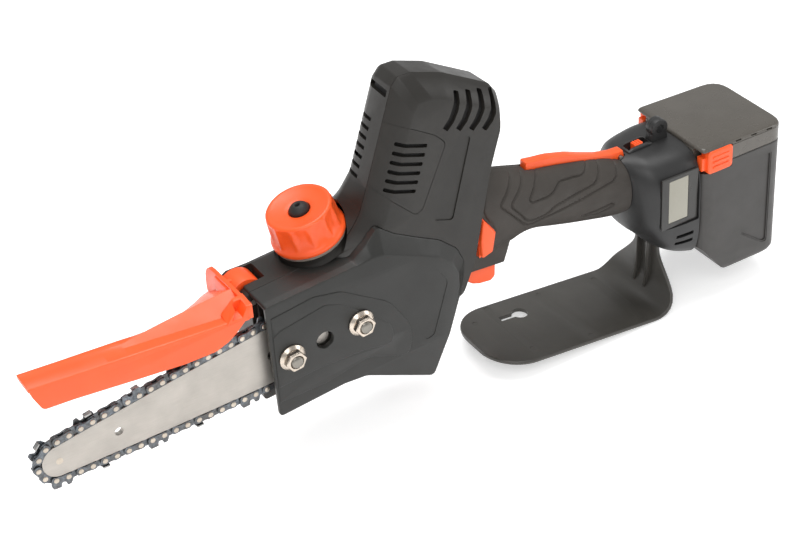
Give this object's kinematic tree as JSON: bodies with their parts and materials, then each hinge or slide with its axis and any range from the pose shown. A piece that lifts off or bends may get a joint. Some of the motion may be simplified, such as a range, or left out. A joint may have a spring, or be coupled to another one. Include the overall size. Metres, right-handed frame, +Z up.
{
  "type": "cordless pruning chainsaw",
  "caption": "One-handed cordless chainsaw with a short guide bar, hinged chain guard, leaning motor housing, oil cap, rear handle, hand guard and slide-on battery.",
  "frame": {"origin": "centre of the battery's underside, on the mid-plane of the handle and the motor housing", "axes": "+X from the bar nose towards the battery, +Y away from the sprocket cover's side, +Z up along the battery"},
  "size_m": [0.5818, 0.0789, 0.2561],
  "materials": {
    "black_plastic": "moulded, fine texture",
    "cover_plastic": "moulded, satin",
    "grip_rubber": "soft-touch overmould",
    "orange_plastic": "satin orange",
    "bar_steel": "ground",
    "nickel": "nickel plated",
    "chain_steel": "blued with oil",
    "copper_winding": "enamelled wire",
    "gear_metal": "sintered",
    "clear_seal": "translucent",
    "black_rubber": "soft",
    "display": "grey-green display",
    "circuit_board": "green board",
    "cell_metal": "sleeved cells"
  },
  "bodies": {
    "saw_body": {"main_housing": "black_plastic", "tower_side_cover": "black_plastic", "vent_grille": "black_plastic", "sprocket_cover": "cover_plastic", "grip_shell_near": "grip_rubber", "grip_shell_far": "grip_rubber", "bell_shell_near": "black_plastic", "bell_shell_far": "black_plastic", "hand_guard": "black_plastic", "bar_guard_pin": "bar_steel", "guide_bar": "bar_steel", "saw_chain": "chain_steel", "bar_stud_front": "bar_steel", "bar_stud_rear": "bar_steel", "bar_nut_front": "nickel", "bar_nut_rear": "nickel", "tensioner_screw": "bar_steel", "tensioner_pin": "bar_steel", "spindle_bearing_front": "bar_steel", "spindle_bearing_rear": "bar_steel", "motor_can": "bar_steel", "motor_stator": "copper_winding", "motor_bearing_lower": "bar_steel", "motor_bearing_upper": "bar_steel", "motor_mount_plate": "bar_steel", "oil_pickup_tube": "clear_seal", "trigger_pin": "bar_steel", "trigger_switch": "black_plastic", "safety_lever_pin": "bar_steel", "display_lens": "display", "display_module": "circuit_board", "controller_board": "circuit_board", "battery_rail": "black_plastic", "housing_screw_1": "bar_steel", "housing_screw_2": "bar_steel", "housing_screw_3": "bar_steel", "housing_screw_4": "bar_steel"},
    "bar_guard": {"bar_guard": "orange_plastic"},
    "nose_wheel": {"nose_sprocket": "bar_steel"},
    "motor_shaft": {"motor_rotor": "bar_steel", "motor_fan": "black_plastic", "motor_pinion": "bar_steel"},
    "chain_drive": {"sprocket_spindle": "bar_steel", "sprocket_circlip": "bar_steel", "crown_gear": "gear_metal", "drive_sprocket": "bar_steel"},
    "cap_seat_ring": {"oil_cap_gasket": "clear_seal"},
    "oil_cap": {"oil_cap": "orange_plastic"},
    "primer_bulb": {"oil_primer_bulb": "black_rubber"},
    "trigger": {"trigger": "orange_plastic"},
    "safety_lever": {"safety_lever": "orange_plastic"},
    "lock_button": {"lock_button": "orange_plastic"},
    "power_slider": {"power_slider": "orange_plastic"},
    "battery": {"battery_case": "black_plastic", "battery_lid": "black_plastic", "battery_cells": "cell_metal", "battery_board": "circuit_board"},
    "latch_near": {"latch_button_near": "orange_plastic"},
    "latch_far": {"latch_button_far": "orange_plastic"}
  },
  "joints": [
    {"name": "bar_guard_hinge", "type": "hinge", "parent": "saw_body", "child": "bar_guard", "pos_m": [-0.376, 0, 0.112], "axis": [0, 1, 0], "range_deg": [0, 55], "stiffness_Nm_per_rad": 0.15, "springref_deg": -22.92},
    {"name": "nose_wheel_spin", "type": "hinge", "parent": "saw_body", "child": "nose_wheel", "pos_m": [-0.52411, -0.019, 0.06314], "axis": [0, 1, 0], "continuous": true},
    {"name": "motor_spin", "type": "hinge", "parent": "saw_body", "child": "motor_shaft", "pos_m": [-0.2597, 0, 0.0872], "axis": [0.3289, 0, 0.9444], "continuous": true},
    {"name": "chain_drive_spin", "type": "hinge", "parent": "saw_body", "child": "chain_drive", "pos_m": [-0.2597, -0.019, 0.0872], "axis": [0, 1, 0], "continuous": true},
    {"name": "cap_lift", "type": "slide", "parent": "saw_body", "child": "cap_seat_ring", "axis": [-0.2588, 0, 0.9659], "range_m": [0, 0.008]},
    {"name": "cap_turn", "type": "hinge", "parent": "cap_seat_ring", "child": "oil_cap", "pos_m": [-0.3225, 0.008, 0.1295], "axis": [-0.2588, 0, 0.9659], "range_deg": [0, 720]},
    {"name": "primer_press", "type": "slide", "parent": "oil_cap", "child": "primer_bulb", "axis": [0.2588, 0, -0.9659], "range_m": [0, 0.003], "stiffness_N_per_m": 500, "springref_m": -0.002},
    {"name": "trigger_pull", "type": "hinge", "parent": "saw_body", "child": "trigger", "pos_m": [-0.213, 0, 0.079], "axis": [0, -1, 0], "range_deg": [0, 8], "stiffness_Nm_per_rad": 0.3, "springref_deg": -8.59},
    {"name": "safety_lever_press", "type": "hinge", "parent": "saw_body", "child": "safety_lever", "pos_m": [-0.083, 0, 0.1085], "axis": [0, -1, 0], "range_deg": [0, 4.5], "stiffness_Nm_per_rad": 0.4, "springref_deg": -8.59},
    {"name": "lock_button_press", "type": "slide", "parent": "saw_body", "child": "lock_button", "axis": [0, 1, 0], "range_m": [0, 0.003], "stiffness_N_per_m": 600, "springref_m": -0.002},
    {"name": "power_slider_slide", "type": "slide", "parent": "saw_body", "child": "power_slider", "axis": [1, 0, 0], "range_m": [0, 0.004]},
    {"name": "battery_slide", "type": "slide", "parent": "saw_body", "child": "battery", "axis": [0, 0, 1], "range_m": [0, 0.085]},
    {"name": "latch_near_press", "type": "slide", "parent": "battery", "child": "latch_near", "axis": [0, 1, 0], "range_m": [0, 0.0025], "stiffness_N_per_m": 800, "springref_m": -0.002},
    {"name": "latch_far_press", "type": "slide", "parent": "battery", "child": "latch_far", "axis": [0, -1, 0], "range_m": [0, 0.0025], "stiffness_N_per_m": 800, "springref_m": -0.002}
  ],
  "couplings": [
    {"joint": "chain_drive_spin", "follows": "motor_spin", "ratio": -0.33333},
    {"joint": "nose_wheel_spin", "follows": "motor_spin", "ratio": -0.28571},
    {"joint": "cap_lift", "follows": "cap_turn", "m_per_rad": 0.00063662}
  ]
}
